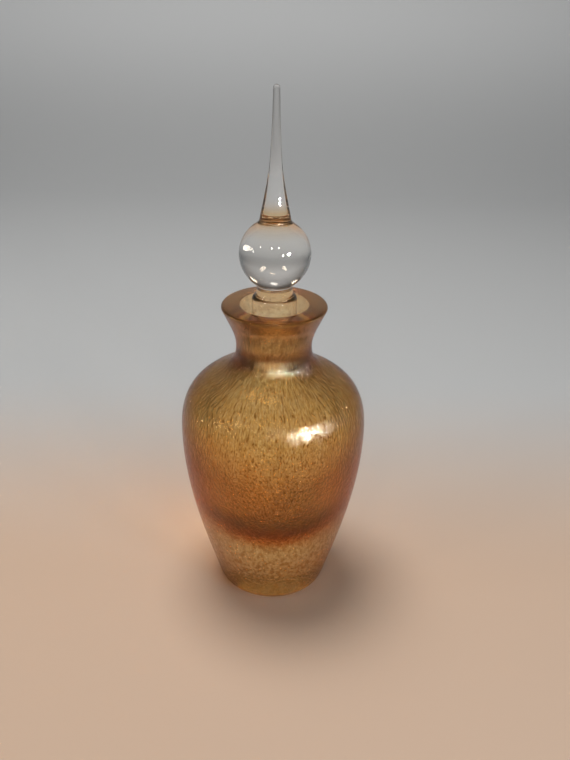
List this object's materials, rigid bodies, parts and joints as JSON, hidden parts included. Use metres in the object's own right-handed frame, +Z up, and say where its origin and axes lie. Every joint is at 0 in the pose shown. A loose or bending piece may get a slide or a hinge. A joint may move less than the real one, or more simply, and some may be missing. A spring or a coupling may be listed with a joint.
{
  "type": "stoppered scent bottle",
  "caption": "Blown amber crackle-glass scent bottle with a thick clear foot, a flat flared lip and a ground glass stopper with a ball and a tall spire.",
  "frame": {"origin": "centre of the flat foot that the bottle stands on", "axes": "+Z up along the bottle's turning axis, through the stopper's spire; every piece is round about Z, so X and Y are free"},
  "size_m": [0.059, 0.059, 0.1635],
  "materials": {
    "crackle_glass": "crackled outside, fire-polished, flat ground and polished lip",
    "amber_glass": "smooth, amber",
    "ground_glass": "ground taper, polished collar and stem",
    "clear_glass": "fire-polished, clear",
    "dauber_glass": "fire-polished, clear"
  },
  "bodies": {
    "bottle": {"bottle_casing": "crackle_glass", "amber_lining": "amber_glass"},
    "stopper": {"ground_plug": "ground_glass", "ball_knop": "clear_glass", "spire": "clear_glass", "dauber_rod": "dauber_glass"}
  },
  "joints": [
    {"name": "stopper_lift", "type": "slide", "parent": "bottle", "child": "stopper", "axis": [0, 0, 1], "range_m": [0, 0.07]}
  ]
}
